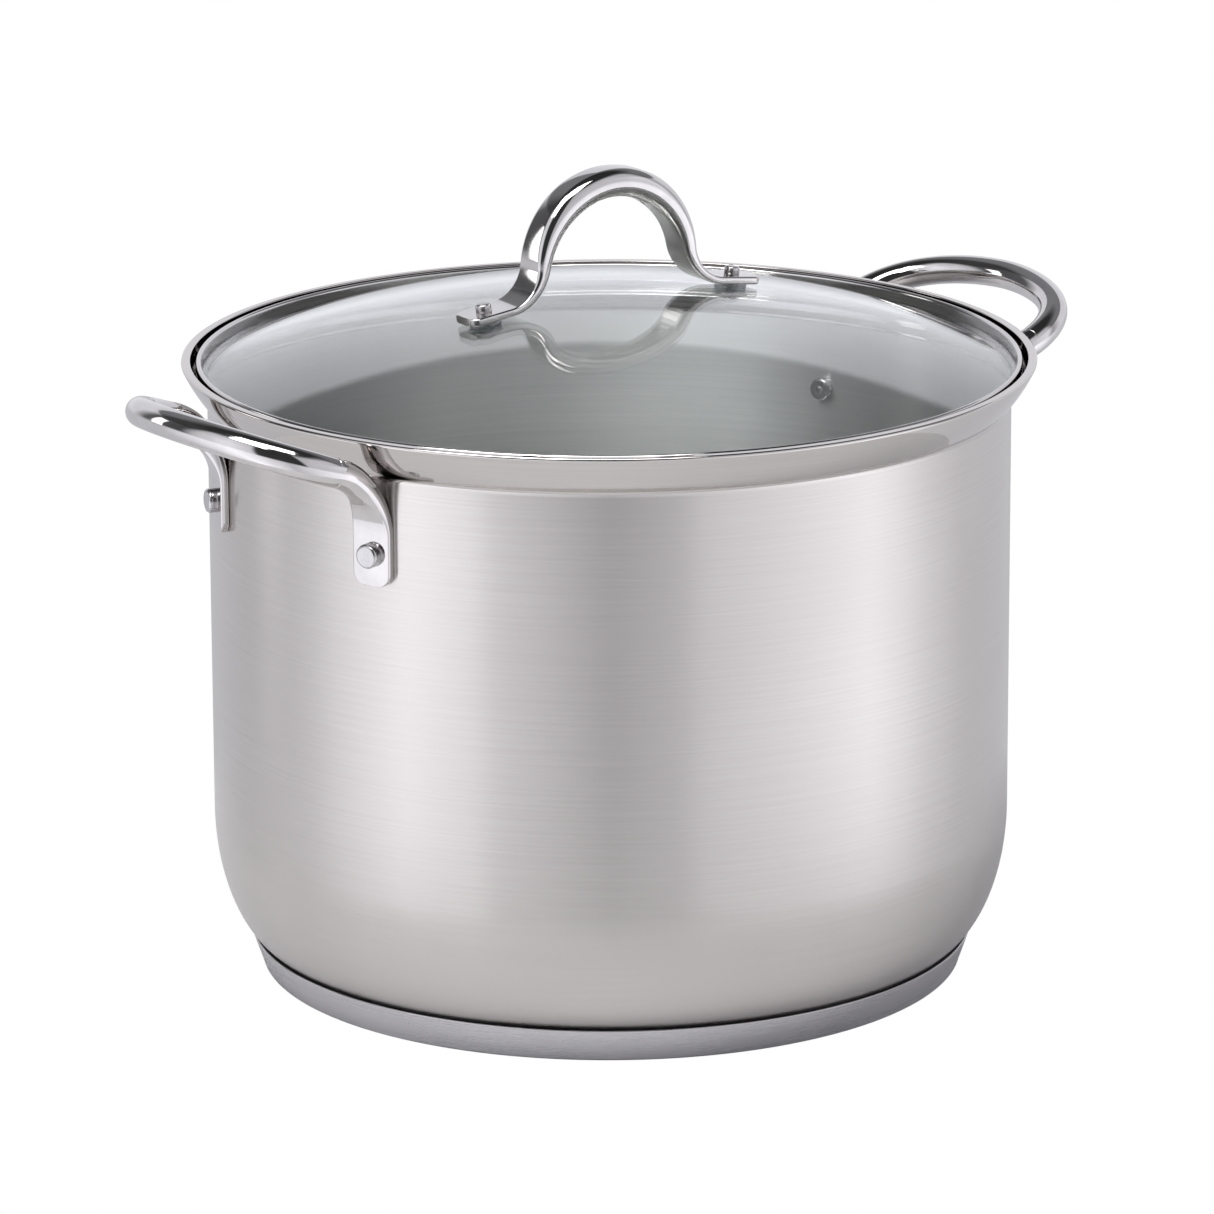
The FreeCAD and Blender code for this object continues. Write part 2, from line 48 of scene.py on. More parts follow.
# ---- Studio -------------------------------------------------------------------------------------
# The pot stands on a small pale table in a bright room. The walls end 29 degrees up, and the ceiling above
# them is dark. One narrow soft box stands at the left, and two small ones hang overhead.
scene = bpy.context.scene
scene.view_settings.view_transform = "Standard"
scene.view_settings.look = "None"

camera_bearing = math.radians(-37.1)
camera_distance = 2.480
camera_height = 0.810
camera_pitch = math.radians(15.456)
camera_roll = math.radians(-0.22)

camera_data = bpy.data.cameras.new("camera")
camera_data.lens = 220.3
camera_data.sensor_width = 36.0
camera_data.shift_x = -0.0026
camera_data.clip_end = 50.0
camera = bpy.data.objects.new("camera", camera_data)
towards_camera = Vector((math.sin(camera_bearing), -math.cos(camera_bearing), 0))
right_of_camera = Vector((math.cos(camera_bearing), math.sin(camera_bearing), 0))
camera.matrix_world = (
    Matrix.Translation(towards_camera * camera_distance + Vector((0, 0, camera_height)))
    @ Matrix.Rotation(camera_bearing, 4, "Z")
    @ Matrix.Rotation(math.pi / 2 - camera_pitch, 4, "X")
    @ Matrix.Rotation(camera_roll, 4, "Z"))
scene.collection.objects.link(camera)
scene.camera = camera


def add(tree, kind, inputs=None, **settings):
    """Adds a shader node with its settings, and sets its inputs or links them to other nodes' outputs."""
    node = tree.nodes.new("ShaderNode" + kind)
    for key, value in settings.items():
        setattr(node, key, value)
    for key, value in (inputs or {}).items():
        if isinstance(value, bpy.types.NodeSocket):
            tree.links.new(value, node.inputs[key])
        else:
            node.inputs[key].default_value = value
    return node


def paint(code):
    """An sRGB hex colour as linear RGBA."""
    channels = [int(code[i:i + 2], 16) / 255 for i in (0, 2, 4)]
    linear = [c / 12.92 if c <= 0.04045 else ((c + 0.055) / 1.055) ** 2.4 for c in channels]
    return (*linear, 1.0)


# Brightness of the studio by bearing, counted in degrees from the camera's side, to the right: below the
# table top, on the walls above it, and above the walls, where only the screens at the sides reach.
below_table = ((-180, 0.6), (-110, 0.9), (-60, 1.8), (0, 0.8), (80, 1.8), (120, 0.9), (180, 0.6))
above_table = ((-180, 1.00), (-140, 1.00), (-126, 0.15), (-92, 0.10), (-84, 0.80), (-62, 1.35), (-38, 1.05),
               (-33, 0.06), (21, 0.05), (25, 0.75), (60, 0.95), (90, 1.20), (100, 0.50), (118, 1.00),
               (180, 1.00))
above_walls = ((-180, 0.30), (-140, 0.26), (-126, 0.08), (-92, 0.06), (-84, 0.80), (-62, 1.20), (-38, 1.00),
               (-33, 0.05), (21, 0.05), (25, 0.70), (60, 0.90), (90, 0.80), (100, 0.20), (118, 0.26),
               (180, 0.30))
brightest = 1.9
ceiling_light = 0.04
table_edge = (-8, 0)         # elevations in degrees, from the start to the end of each change
wall_edge = (28.5, 29.5)
screen_edge = (44, 58)
world = bpy.data.worlds.new("studio")
world.use_nodes = True
scene.world = world
sky = world.node_tree
sky.nodes.clear()
direction = add(sky, "TexCoord").outputs["Generated"]
ahead = add(sky, "VectorMath", {0: direction, 1: towards_camera}, operation="DOT_PRODUCT")
aside = add(sky, "VectorMath", {0: direction, 1: right_of_camera}, operation="DOT_PRODUCT")
bearing = add(sky, "Math", {0: aside.outputs["Value"], 1: ahead.outputs["Value"]}, operation="ARCTAN2")
turn_share = add(sky, "MapRange", {0: bearing.outputs[0], 1: -math.pi, 2: math.pi}).outputs[0]


def by_bearing(lights):
    """The brightness that a list gives for the direction's bearing, as a share of the brightest."""
    ramp = add(sky, "ValToRGB", {0: turn_share})
    stops = ramp.color_ramp.elements
    for stop, (_, shine) in zip(list(stops), (lights[0], lights[-1])):
        stop.color = (*[shine / brightest] * 3, 1)
    for degrees, shine in lights[1:-1]:
        stops.new((degrees + 180) / 360).color = (*[shine / brightest] * 3, 1)
    return ramp.outputs["Color"]


up = add(sky, "SeparateXYZ", {0: direction}).outputs["Z"]


def rise(edge):
    """Goes from 0 to 1 across an edge between two elevations."""
    low, high = (math.sin(math.radians(degrees)) for degrees in edge)
    return add(sky, "MapRange", {0: up, 1: low, 2: high}).outputs[0]


walls = add(sky, "Mix", {0: rise(table_edge), 6: by_bearing(below_table), 7: by_bearing(above_table)},
            data_type="RGBA")
screens = add(sky, "Mix", {0: rise(wall_edge), 6: walls.outputs[2], 7: by_bearing(above_walls)},
              data_type="RGBA")
room = add(sky, "Mix", {0: rise(screen_edge), 6: screens.outputs[2],
                        7: (*[ceiling_light / brightest] * 3, 1)}, data_type="RGBA")
tint = add(sky, "Mix", {0: 1.0, 6: room.outputs[2], 7: paint("f8f9ff")}, data_type="RGBA",
           blend_type="MULTIPLY")
studio = add(sky, "Background", {"Color": tint.outputs[2], "Strength": brightest})
# The camera sees plain white behind the pot, while the pot is lit by the room.
paper = add(sky, "Background", {"Color": (1, 1, 1, 1), "Strength": 1.0})
seen = add(sky, "LightPath").outputs["Is Camera Ray"]
either = add(sky, "MixShader", {0: seen, 1: studio.outputs[0], 2: paper.outputs[0]})
add(sky, "OutputWorld", {"Surface": either.outputs[0]})


aim = Vector((0, 0, 0.12))   # the middle of the pot


def soft_box(name, bearing, distance, height, width, tall, power):
    """A soft box that faces the pot. Its bearing is counted from the camera's side, to the right."""
    turn = math.radians(bearing)
    place = (towards_camera * math.cos(turn) + right_of_camera * math.sin(turn)) * distance
    place.z = height
    data = bpy.data.lights.new(name, "AREA")
    data.shape = "RECTANGLE"
    data.size = width
    data.size_y = tall
    data.energy = power
    lamp = bpy.data.objects.new(name, data)
    facing = (aim - place).to_track_quat("-Z", "Y").to_matrix().to_4x4()
    lamp.matrix_world = Matrix.Translation(place) @ facing
    scene.collection.objects.link(lamp)


soft_box("side_box", -106, 1.2, 0.40, 0.22, 0.56, 0.9)
soft_box("left_overhead_box", -44, 0.55, 1.15, 0.55, 0.5, 6.5)
soft_box("overhead_box", -2, 0.45, 1.60, 0.8, 0.6, 9)

table_radius = 0.30
floor_mesh = bpy.data.meshes.new("floor")
bm = bmesh.new()
bmesh.ops.create_circle(bm, cap_ends=True, segments=96, radius=table_radius)
bm.to_mesh(floor_mesh)
bm.free()
floor = bpy.data.objects.new("floor", floor_mesh)
scene.collection.objects.link(floor)
# Matt white paint: even and soft, with no mirror image of the pot.
floor_paint = bpy.data.materials.new("matt_white_table")
floor_paint.use_nodes = True
tree = floor_paint.node_tree
tree.nodes.clear()
# The table is overexposed to plain white where the camera sees it.
table = add(tree, "BsdfPrincipled", {"Base Color": paint("ececee"), "Roughness": 0.8})
washed_out = add(tree, "Emission", {"Color": (1, 1, 1, 1), "Strength": 1.0})
seen = add(tree, "LightPath").outputs["Is Camera Ray"]
table_look = add(tree, "MixShader", {0: seen, 1: table.outputs[0], 2: washed_out.outputs[0]})
add(tree, "OutputMaterial", {"Surface": table_look.outputs[0]})
floor_mesh.materials.append(floor_paint)

# ---- Pot shell ----------------------------------------------------------------------------------
# One deep-drawn sheet of 18/10 stainless steel. It is satin-polished on a lathe, so its fine lines run
# round it, and its rim flares out into a lip that stands upright on the inside.
MM = 0.001
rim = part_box("pot_body")[1]
base_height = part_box("pot_body")[0].z
sheet = 0.8 * MM
rim_overhang = 8.7 * MM
lip_width = 3.1 * MM
lip_round = 0.75 * MM
collar_round = 0.4 * MM
start_lean = math.radians(40)
end_lean = math.radians(26)
flare_blend = 3.0 * MM
corner_width = 23.0 * MM
corner_height = 47.5 * MM
body_radius = rim.x - rim_overhang
wall_inside = body_radius - sheet
lip_inside = rim.x - lip_width
ROUND = 288                  # faces round the pot
weld = 0.001 * MM            # points nearer than this are one


def sweep(centre, radius, start, end, points, height=None):
    """Points of an arc, or of an ellipse's arc when a height is given. Angles in radians, 0 outwards."""
    tall = radius if height is None else height
    turns = [start + (end - start) * i / (points - 1) for i in range(points)]
    return [(centre[0] + radius * math.cos(t), centre[1] + tall * math.sin(t)) for t in turns]


def finish_mesh(name, bm, body, slot, *nodes):
    """Turns a bmesh into a smooth piece that rides on a body and stands for CAD nodes."""
    bmesh.ops.remove_doubles(bm, verts=bm.verts, dist=weld)
    bmesh.ops.recalc_face_normals(bm, faces=bm.faces)
    mesh = bpy.data.meshes.new(name)
    bm.to_mesh(mesh)
    bm.free()
    for face in mesh.polygons:
        face.use_smooth = True
    piece = bpy.data.objects.new(name, mesh)
    scene.collection.objects.link(piece)
    shading = piece.modifiers.new("even_shading", "WEIGHTED_NORMAL")
    shading.keep_sharp = True
    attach(piece, body)
    if nodes:
        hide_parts(*nodes)
    return piece


def lathe(outline, steps, closed=True):
    """A bmesh turned about Z from an outline of (radius, height) points."""
    bm = bmesh.new()
    rows = [bm.verts.new((radius, 0, height)) for radius, height in outline]
    pairs = list(zip(rows, rows[1:])) + ([(rows[-1], rows[0])] if closed else [])
    edges = [bm.edges.new(pair) for pair in pairs]
    bmesh.ops.spin(bm, geom=rows + edges, cent=(0, 0, 0), axis=(0, 0, 1), angle=2 * math.pi,
                   steps=steps, use_merge=True)
    return bm


blend_reach = flare_blend * (1 - math.cos(start_lean))
lip_reach = lip_round * (1 - math.cos(end_lean))
flare_radius = (rim_overhang - blend_reach - lip_reach) / (math.cos(end_lean) - math.cos(start_lean))
lip_centre = (rim.x - lip_round, rim.z - lip_round)
flare_centre = (lip_centre[0] - (flare_radius - lip_round) * math.cos(end_lean),
                lip_centre[1] + (flare_radius - lip_round) * math.sin(end_lean))
wall_end = flare_centre[1] - (flare_blend + flare_radius) * math.sin(start_lean)
blend_centre = (body_radius + flare_blend, wall_end)
corner_centre = (body_radius - corner_width, base_height + corner_height)
collar_foot = math.acos((lip_inside - flare_centre[0]) / (flare_radius - sheet))
shell_outline = (
    [(0, base_height)]
    + sweep(corner_centre, corner_width, -math.pi / 2, 0, 33, corner_height)
    + sweep(blend_centre, flare_blend, math.pi, math.pi - start_lean, 9)
    + sweep(flare_centre, flare_radius, -start_lean, -end_lean, 13)[1:]
    + sweep(lip_centre, lip_round, -end_lean, math.pi / 2, 11)[1:]
    + sweep((lip_inside + collar_round, rim.z - collar_round), collar_round, math.pi / 2, math.pi, 6)
    + sweep(flare_centre, flare_radius - sheet, -collar_foot, -start_lean, 9)
    + sweep(blend_centre, flare_blend + sheet, math.pi - start_lean, math.pi, 9)[1:]
    + sweep(corner_centre, corner_width - sheet, 0, -math.pi / 2, 33, corner_height - sheet)
    + [(0, base_height + sheet)])
shell = finish_mesh("pot_shell", lathe(shell_outline, ROUND), "pot", "satin_steel", "pot_body")


calm, busy = 0.08, 0.42      # the range of the two noises' product
line_strength = 0.35
across_lines = 0.25          # of a full turn


def metal(name, dark, light, roughness, spread, line_width, line_length, line_depth, patch, turned_on=None,
          anisotropic=0.0):
    """Bare metal with fine polishing lines. Line sizes are in metres, on Object coordinates.

    turned_on is the axis that the part was turned about. Its lines run round that axis, and the
    reflection is drawn out across them.
    """
    finish = bpy.data.materials.new(name)
    finish.use_nodes = True
    tree = finish.node_tree
    tree.nodes.clear()
    place = add(tree, "TexCoord").outputs["Object"]
    stretch = add(tree, "Mapping", {
        "Vector": place, "Scale": (1 / line_length, 1 / line_length, 1 / line_width)})
    lines = add(tree, "TexNoise", {
        "Vector": stretch.outputs[0], "Scale": 1.0, "Detail": 3.0, "Roughness": 0.6})
    cloud = add(tree, "TexNoise", {"Vector": place, "Scale": 1 / patch, "Detail": 2.0})
    tone = add(tree, "Mix", {6: paint(dark), 7: paint(light)}, data_type="RGBA")
    weight = add(tree, "Math", {0: lines.outputs["Fac"], 1: cloud.outputs["Fac"]}, operation="MULTIPLY")
    span = add(tree, "MapRange", {0: weight.outputs[0], 1: calm, 2: busy})
    tree.links.new(span.outputs[0], tone.inputs[0])
    gloss = add(tree, "MapRange", {
        0: weight.outputs[0], 1: calm, 2: busy, 3: roughness - spread, 4: roughness + spread})
    relief = add(tree, "Bump", {
        "Strength": line_strength, "Distance": line_depth, "Height": lines.outputs["Fac"]})
    surface = add(tree, "BsdfPrincipled", {
        "Base Color": tone.outputs[2], "Metallic": 1.0, "Roughness": gloss.outputs[0],
        "Normal": relief.outputs[0]})
    if turned_on:
        turned = add(tree, "Tangent", direction_type="RADIAL", axis=turned_on)
        tree.links.new(turned.outputs[0], surface.inputs["Tangent"])
        surface.inputs["Anisotropic"].default_value = anisotropic
        surface.inputs["Anisotropic Rotation"].default_value = across_lines
    add(tree, "OutputMaterial", {"Surface": surface.outputs[0]})
    return finish


# Satin stainless: lines 0.1 mm apart in the real finish, drawn 0.7 mm apart so that they show.
satin_steel = metal("satin_stainless_steel", "c2bdba", "cbc7c4", 0.25, 0.02, 0.7 * MM, 60 * MM, 0.0004 * MM,
                    70 * MM, turned_on="Z", anisotropic=0.9)
# Brushed stainless, inside: coarser lines that spread the light into a dull, wide sheen.
inner_steel = metal("brushed_inner_steel", "b7b5b3", "c4c2c0", 0.42, 0.03, 0.9 * MM, 80 * MM, 0.004 * MM,
                    60 * MM, turned_on="Z", anisotropic=0.92)
# Buffed stainless, on the flare and the lip: nearly a mirror.
rim_steel = metal("buffed_rim_steel", "bfbab7", "c8c4c1", 0.06, 0.02, 0.6 * MM, 70 * MM, 0.0001 * MM,
                  60 * MM, turned_on="Z", anisotropic=0.4)
for finish in (satin_steel, inner_steel, rim_steel):
    shell.data.materials.append(finish)
into_pot = -0.001            # below this, a face looks towards the pot's axis
facing_up = 0.5
for face in shell.data.polygons:
    outwards = face.normal.xy.dot(face.center.xy)
    if face.center.z > wall_end:
        face.material_index = 2
    elif outwards < into_pot or (face.normal.z > facing_up and face.center.xy.length < wall_inside):
        face.material_index = 1

# ---- Encapsulated base --------------------------------------------------------------------------
# A pressed stainless cap that is brazed over an aluminium disc. Its side leans out slightly, and a groove
# is left between its lip and the shell, whose dark is painted shade on the aluminium disc below.
cap_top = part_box("base_cap")[1]
cap_sheet = 0.8 * MM
cap_taper = 4.0 * MM
cap_edge = 1.4 * MM
cap_lip_round = 0.25 * MM
cap_foot = cap_top.x - cap_taper


def cap_side(height):
    """Outer radius of the cap's side at a height."""
    return cap_foot + cap_taper * height / cap_top.z


cap_outline = (
    [(0, 0)]
    + sweep((cap_foot - cap_edge, cap_edge), cap_side(cap_edge) - cap_foot + cap_edge, -math.pi / 2, 0, 9,
            cap_edge)
    + sweep((cap_top.x - cap_lip_round, cap_top.z - cap_lip_round), cap_lip_round, 0, math.pi / 2, 4)
    + sweep((cap_top.x - cap_sheet + cap_lip_round, cap_top.z - cap_lip_round), cap_lip_round,
            math.pi / 2, math.pi, 4)
    + [(cap_side(cap_sheet) - cap_sheet, cap_sheet), (0, cap_sheet)])
cap = finish_mesh("base_cap_shell", lathe(cap_outline, ROUND), "pot", "satin_steel", "base_cap")
# Brushed stainless, straight from the press: a soft grey with coarser lines than the shell's.
cap.data.materials.append(metal("brushed_base_steel", "c4c2c4", "cfcdcf", 0.28, 0.04, 0.6 * MM, 50 * MM,
                                0.006 * MM, 50 * MM, turned_on="Z", anisotropic=0.4))


def coat(node, finish):
    """Gives a CAD node a material in place of its own."""
    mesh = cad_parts[node].data
    mesh.materials.clear()
    mesh.materials.append(finish)


# Pressed aluminium: dull and blotchy, and painted dark as the shade at the bottom of the groove, where it
# shows.
coat("base_core_disc", metal("aluminium_painted_groove_shade", "6b6d70", "7d7f82", 0.5, 0.08, 1.5 * MM, 4 * MM,
                             0.02 * MM, 20 * MM))

# ---- Side handles -------------------------------------------------------------------------------
# Each handle is a stainless bar, bent into a loop that rises away from the pot, polished bright, with
# both ends pressed into flat feet that are riveted to the wall.
handle_low, handle_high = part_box("right_handle")
bar = 10.2 * MM
foot_spacing = 89.2 * MM
foot_width = 15.0 * MM
foot_thickness = 3.0 * MM
foot_corner = 4.5 * MM
foot_edge = 0.9 * MM
foot_growth = 26.0 * MM
bar_bend = 26.0 * MM
loop_rise = 2.1 * MM
loop_slope = math.radians(20.3)
leg_pull = 43.5 * MM         # how far the loop's curve is drawn by its feet and by its tip
nose_pull = 14.0 * MM
loop_steps = 240
bend_steps = 24
foot_shares = (0, 0.004, 0.015, 0.04, 0.08, 0.13, 0.18, 0.22, 0.265, 0.5, 0.9)
tip = handle_high.x - bar / 2
foot_angle = math.asin(foot_spacing / 2 / body_radius)
foot_plane = math.sqrt(body_radius ** 2 - (foot_width / 2) ** 2)
foot_middle = foot_plane + foot_thickness / 2
foot_bottom = handle_low.z


def eased(value, start, end):
    """Rises smoothly from 0 at start to 1 at end."""
    share = min(1.0, max(0.0, (value - start) / (end - start)))
    return share * share * (3 - 2 * share)


def corner_cut(distance, radius):
    """How much a rounded corner takes off one side of a plate, at a distance from the plate's end."""
    if distance >= radius:
        return 0.0
    return radius - math.sqrt(max(0.0, radius ** 2 - (radius - distance) ** 2))


def loft(stations, sides):
    """A bmesh drawn through rounded sections. Each is (centre, across, through, width, thickness, edge)."""
    bm = bmesh.new()
    before = None
    ends = []
    for centre, across, through, width, thickness, edge in stations:
        corner = min(edge, width / 2, thickness / 2)
        ring = bmesh.ops.create_circle(bm, segments=sides, radius=1.0)["verts"]
        for vert in ring:
            c, s = vert.co.x, vert.co.y
            flat_c = 0.0 if abs(c) < 1e-6 else math.copysign(width / 2 - corner, c)
            flat_s = 0.0 if abs(s) < 1e-6 else math.copysign(thickness / 2 - corner, s)
            vert.co = centre + across * (flat_c + corner * c) + through * (flat_s + corner * s)
        edges = list({link for vert in ring for link in vert.link_edges})
        if before is not None:
            bmesh.ops.bridge_loops(bm, edges=before + edges)
        else:
            ends.append(ring)
        before = edges
    ends.append(ring)
    for ring in ends:
        bmesh.ops.contextual_create(bm, geom=ring)
    return bm


def loop_plan(share):
    """The loop seen from above, from a foot (0) to the tip (1)."""
    away = Vector((math.cos(foot_angle), math.sin(foot_angle), 0))
    poles = (away * foot_middle, away * (foot_middle + leg_pull), Vector((tip, nose_pull, 0)),
             Vector((tip, 0, 0)))
    rest = 1 - share
    weights = (rest ** 3, 3 * share * rest ** 2, 3 * share ** 2 * rest, share ** 3)
    return sum((pole * weight for pole, weight in zip(poles, weights)), Vector((0, 0, 0)))


def handle_stations():
    """Sections of the right handle, from the rear foot round the loop to the front foot."""
    plan = [loop_plan(i / loop_steps) for i in range(loop_steps + 1)]
    run = [0.0]
    for a, b in zip(plan, plan[1:]):
        run.append(run[-1] + (b - a).length)
    bend_end = next(i for i, far in enumerate(run) if far >= bar_bend * (1 - math.sin(loop_slope)))

    def sloped(point):
        return rim.z + loop_rise - math.tan(loop_slope) * (tip - point.x)

    bend_height = sloped(plan[bend_end]) - bar_bend * math.cos(loop_slope)
    path = []
    for i, point in enumerate(plan):
        if i < bend_end:
            height = bend_height + math.sqrt(bar_bend ** 2 - (bar_bend - run[i]) ** 2)
        else:
            height = sloped(point)
        path.append(Vector((point.x, point.y, height)))
    start = path[0]
    bend_points = []
    for i in range(1, bend_steps):
        turn = math.pi / 2 * i / bend_steps
        reach = bar_bend * (1 - math.cos(turn))
        if reach >= run[2]:
            break
        spot = start + (plan[1] - plan[0]).normalized() * reach
        bend_points.append(Vector((spot.x, spot.y, bend_height + bar_bend * math.sin(turn))))
    path = [start] + bend_points + path[2:]
    flat = [Vector((start.x, start.y, foot_bottom + (bend_height - foot_bottom) * share))
            for share in foot_shares]
    points = flat + path
    length = [0.0]
    for a, b in zip(points, points[1:]):
        length.append(length[-1] + (b - a).length)
    foot_length = bend_height - foot_bottom
    across = Vector((-math.sin(foot_angle), math.cos(foot_angle), 0))
    stations = []
    for i, point in enumerate(points):
        if i <= len(flat):
            along = Vector((0, 0, 1))
        elif i == len(points) - 1:
            along = Vector((0, -1, 0))
        else:
            along = (points[i + 1] - points[i - 1]).normalized()
        across = (across - along * across.dot(along)).normalized()
        through = along.cross(across).normalized()
        grown = eased(length[i] - foot_length, 0, foot_growth)
        width = foot_width + (bar - foot_width) * grown - 2 * corner_cut(length[i], foot_corner)
        thickness = foot_thickness + (bar - foot_thickness) * grown
        edge = foot_edge + (bar / 2 - foot_edge) * grown
        stations.append((point, across.copy(), through, width, thickness, edge))
    front = [(Vector((p.x, -p.y, p.z)), Vector((-a.x, a.y, -a.z)), Vector((t.x, -t.y, t.z)), w, d, e)
             for p, a, t, w, d, e in reversed(stations[:-1])]
    return stations + front


# Polished stainless: a mirror with the faint waviness of hand polishing, about 9 mm from crest to crest.
polished_steel = metal("polished_stainless_steel", "bfbcbb", "cfcccb", 0.075, 0.02, 9 * MM, 9 * MM,
                       0.012 * MM, 30 * MM)
for name, turn in (("right_handle", 0.0), ("left_handle", math.pi)):
    bm = loft(handle_stations(), 32)
    bmesh.ops.rotate(bm, verts=bm.verts, cent=(0, 0, 0), matrix=Matrix.Rotation(turn, 3, "Z"))
    handle = finish_mesh(name + "_bar", bm, "pot", "polished_steel", name)
    handle.data.materials.append(polished_steel)

# ---- Side handle rivets -------------------------------------------------------------------------
# Solid stainless rivets, closed cold: a thick round head over each foot, and a flat head inside the pot
# with the small ring that the closing tool leaves.
head_radius = 4.15 * MM
head_height = 3.2 * MM
head_round = 1.1 * MM
head_dish = 0.15 * MM
inner_radius = 4.0 * MM
inner_height = 2.4 * MM
inner_round = 0.7 * MM
ring_radius = 1.5 * MM
ring_depth = 0.25 * MM
shank_radius = 3.0 * MM
head_top = foot_thickness + head_height
inner_top = -sheet - inner_height
rivet_outline = (
    [(0, head_top - head_dish), (head_radius * 0.4, head_top - head_dish / 3)]
    + sweep((head_radius - head_round, head_top - head_round), head_round,
            math.pi / 2, 0, 8)
    + [(head_radius, foot_thickness), (shank_radius, foot_thickness), (shank_radius, -sheet / 2),
       (inner_radius, -sheet / 2)]
    + sweep((inner_radius - inner_round, inner_top + inner_round), inner_round, 0, -math.pi / 2, 6)
    + [(ring_radius + ring_depth, inner_top), (ring_radius, inner_top + ring_depth),
       (ring_radius - ring_depth, inner_top), (0, inner_top)])
# Tumbled stainless: a soft, slightly uneven shine with no direction.
tumbled_steel = metal("tumbled_stainless_steel", "b4b2b3", "c6c4c5", 0.24, 0.06, 1.2 * MM, 1.2 * MM,
                      0.01 * MM, 6 * MM)
for side in ("right", "left"):
    for end in ("front", "rear"):
        node = "rivet_" + side + "_" + end
        low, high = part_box(node)
        centre = (low + high) / 2
        facing = math.atan2(centre.y, centre.x)
        bm = lathe(rivet_outline, 48, closed=False)
        bmesh.ops.transform(bm, verts=bm.verts, matrix=(
            Matrix.Rotation(facing, 4, "Z") @ Matrix.Translation((foot_plane, 0, centre.z))
            @ Matrix.Rotation(math.pi / 2, 4, "Y")))
        rivet = finish_mesh(node + "_solid", bm, "pot", "rivet_steel", node)
        rivet.data.materials.append(tumbled_steel)

# ---- Lid glass ----------------------------------------------------------------------------------
# A pressed dome of tempered soda-lime glass, 4 mm thick, with a ground edge and two drilled holes for the
# handle's rivets. The band grips it by the edge.
glass_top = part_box("lid_glass")[1]
dome_radius = 400.0 * MM
glass_thickness = 4.0 * MM
glass_hole = 3.6 * MM
edge_round = glass_thickness / 2
dome_centre = (0, glass_top.z - dome_radius)
edge_reach = glass_top.x - edge_round
dome_edge = math.acos(edge_reach / (dome_radius - edge_round))
edge_centre = (edge_reach, dome_centre[1] + math.sqrt((dome_radius - edge_round) ** 2 - edge_reach ** 2))
glass_outline = (
    sweep(dome_centre, dome_radius, math.pi / 2, dome_edge, 49)
    + sweep(edge_centre, edge_round, dome_edge, dome_edge - math.pi, 11)[1:-1]
    + sweep(dome_centre, dome_radius - glass_thickness, dome_edge, math.pi / 2, 49))
glass = finish_mesh("lid_glass_dome", lathe(glass_outline, ROUND, closed=False), "lid", "tempered_glass",
                    "lid_glass")
# Tempered glass: clear and hard, with a faint haze of handling that shows only in the reflections. Shadow
# rays pass it nearly undimmed, so that the inside of the pot is lit through the lid.
clear_glass = bpy.data.materials.new("tempered_glass")
clear_glass.use_nodes = True
tree = clear_glass.node_tree
tree.nodes.clear()
smear = add(tree, "TexNoise", {
    "Vector": add(tree, "TexCoord").outputs["Object"], "Scale": 1 / (35 * MM), "Detail": 3.0})
haze = add(tree, "MapRange", {0: smear.outputs["Fac"], 1: 0.35, 2: 0.75, 3: 0.0, 4: 0.012})
pane = add(tree, "BsdfPrincipled", {
    "Base Color": paint("f9fcfc"), "Roughness": haze.outputs[0], "IOR": 1.52, "Transmission Weight": 1.0})
lamp_light = add(tree, "BsdfTransparent", {"Color": paint("f4f8f8")})
path = add(tree, "LightPath")
through = add(tree, "MixShader", {
    0: path.outputs["Is Shadow Ray"], 1: pane.outputs[0], 2: lamp_light.outputs[0]})
add(tree, "OutputMaterial", {"Surface": through.outputs[0]})
glass.data.materials.append(clear_glass)

# ---- Lid band -----------------------------------------------------------------------------------
# A rolled strip of stainless steel that is closed round the edge of the glass, with a bright bead above
# and a thin skirt that hangs inside the pot.
band_low, band_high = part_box("lid_band")
band_sheet = 0.6 * MM
band_bead = 2.0 * MM
skirt_sheet = 0.5 * MM
skirt_depth = 5.0 * MM
skirt_gap = 0.5 * MM
skirt_outside = wall_inside - skirt_gap
wrap_end = math.radians(-115)
band_outside = band_high.x
grip = math.acos((band_outside - band_bead - edge_reach) / edge_round)
wrap_bottom = band_low.z + skirt_depth
band_outline = (
    [(skirt_outside, band_low.z), (skirt_outside, wrap_bottom - skirt_sheet)]
    + sweep(edge_centre, edge_round + band_sheet, wrap_end, 0, 11)
    + [(band_outside, edge_centre[1] + edge_round)]
    + sweep((band_outside - band_bead / 2, band_high.z - band_bead / 2), band_bead / 2, 0, math.pi, 13)
    + sweep(edge_centre, edge_round, grip, wrap_end, 13)
    + [(skirt_outside - skirt_sheet, wrap_bottom), (skirt_outside - skirt_sheet, band_low.z)])
band = finish_mesh("lid_band_ring", lathe(band_outline, ROUND), "lid", "band_steel", "lid_band")
# Bright rolled stainless: a mirror that is drawn out a little across the rolling lines.
band.data.materials.append(metal("rolled_bright_steel", "bcb9b8", "cdcac9", 0.07, 0.02, 0.5 * MM, 40 * MM,
                                 0.004 * MM, 40 * MM, turned_on="Z", anisotropic=0.3))

